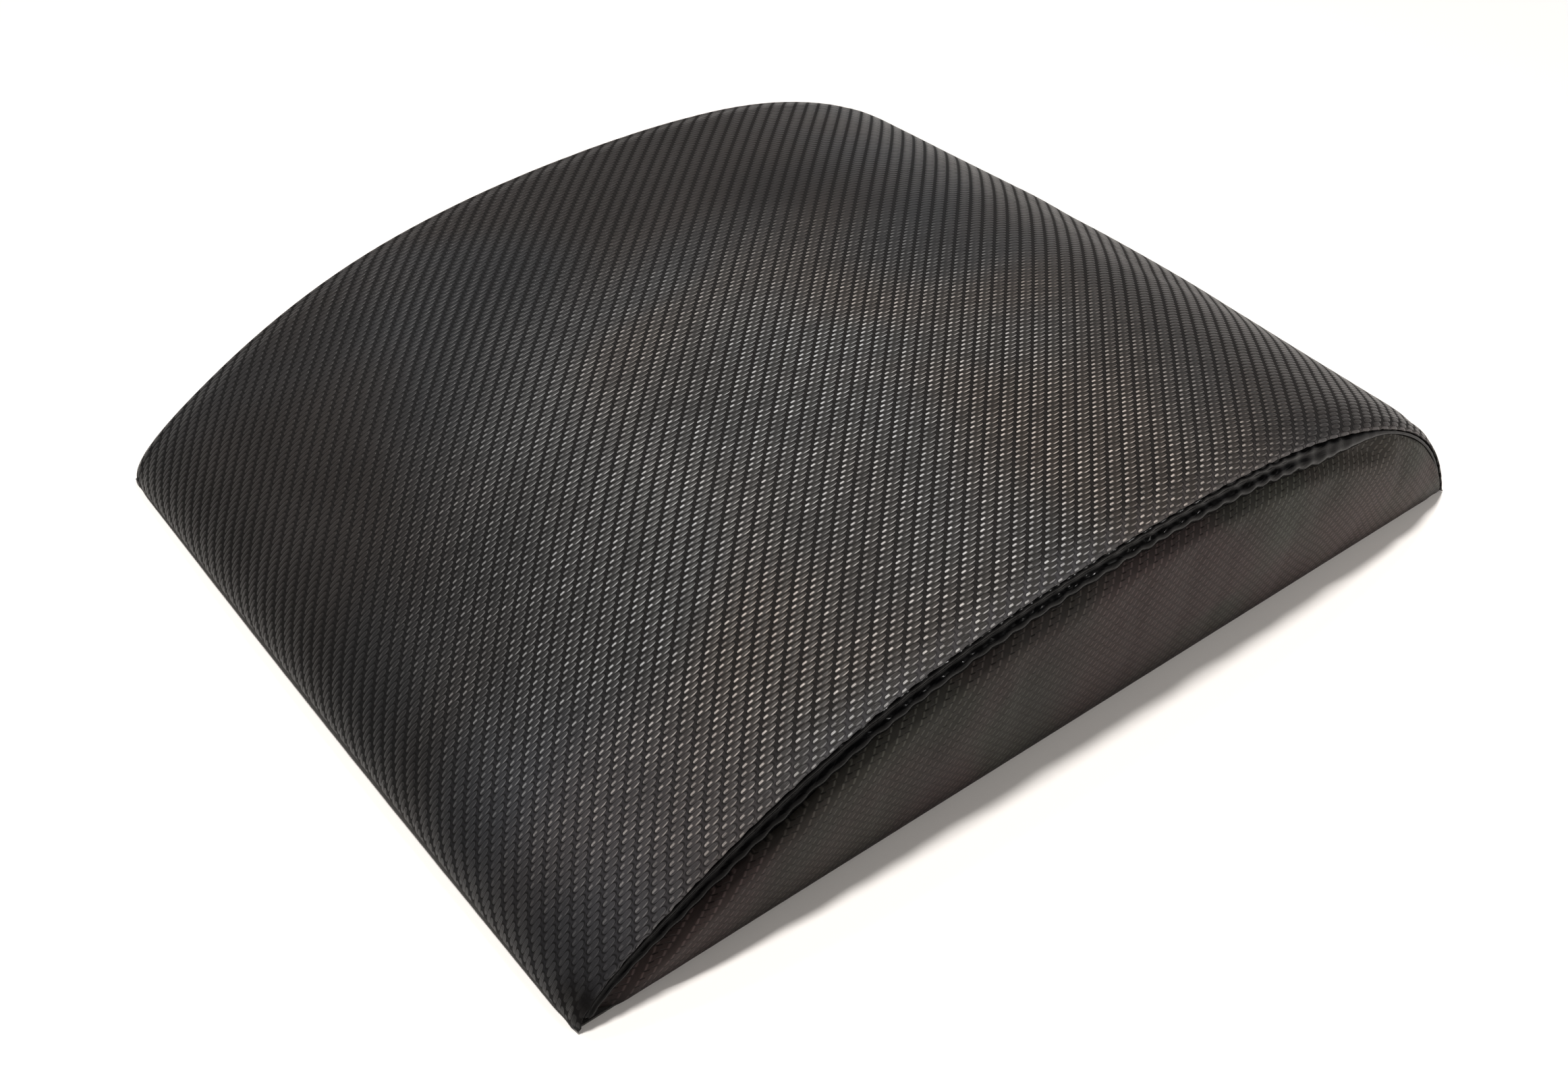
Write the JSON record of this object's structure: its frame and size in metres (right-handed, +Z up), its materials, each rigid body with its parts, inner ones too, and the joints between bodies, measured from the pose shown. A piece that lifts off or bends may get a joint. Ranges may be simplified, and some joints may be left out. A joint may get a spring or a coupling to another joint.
{
  "type": "ab mat",
  "caption": "Arched foam sit-up mat in a sewn cover: woven-look vinyl over the arch, welted end panels of the same vinyl, flat base with a recessed zip.",
  "frame": {"origin": "middle of the footprint, on the floor", "axes": "+X along the arch from the long low slope to the steep end, +Y across, +Z up; the end panel that the picture shows is at -Y"},
  "size_m": [0.3802, 0.2986, 0.0808],
  "materials": {
    "foam": "matte moulded foam",
    "cover_vinyl": "satin vinyl with a woven twill emboss",
    "end_vinyl": "matte vinyl with the same twill emboss",
    "welt_vinyl": "glossy black vinyl",
    "welt_cord": "matte twisted fibre",
    "base_vinyl": "matte vinyl",
    "zip_tape": "matte woven tape",
    "zip_coil": "satin nylon",
    "zip_metal": "satin dark plated metal",
    "thread": "satin thread"
  },
  "bodies": {
    "mat": {"foam_core": "foam", "top_cover": "cover_vinyl", "end_panel_left": "end_vinyl", "end_panel_right": "end_vinyl", "edge_welt_left": "welt_vinyl", "edge_welt_right": "welt_vinyl", "welt_cord_left": "welt_cord", "welt_cord_right": "welt_cord", "base_panel_front": "base_vinyl", "base_panel_rear": "base_vinyl", "zip_tape_front": "zip_tape", "zip_tape_rear": "zip_tape", "zip_coil_front": "zip_coil", "zip_coil_rear": "zip_coil", "zip_stop_left": "zip_metal", "zip_stop_right": "zip_metal", "zip_stitch_front": "thread", "zip_stitch_rear": "thread"},
    "slider": {"zip_slider": "zip_metal"},
    "pull": {"zip_pull": "zip_metal"}
  },
  "joints": [
    {"name": "zip_slide", "type": "slide", "parent": "mat", "child": "slider", "axis": [0, -1, 0], "range_m": [0, 0.2174]},
    {"name": "pull_hinge", "type": "hinge", "parent": "slider", "child": "pull", "pos_m": [0.105, 0.1112, 0.0029], "axis": [1, 0, 0], "range_deg": [-4, 180]}
  ]
}
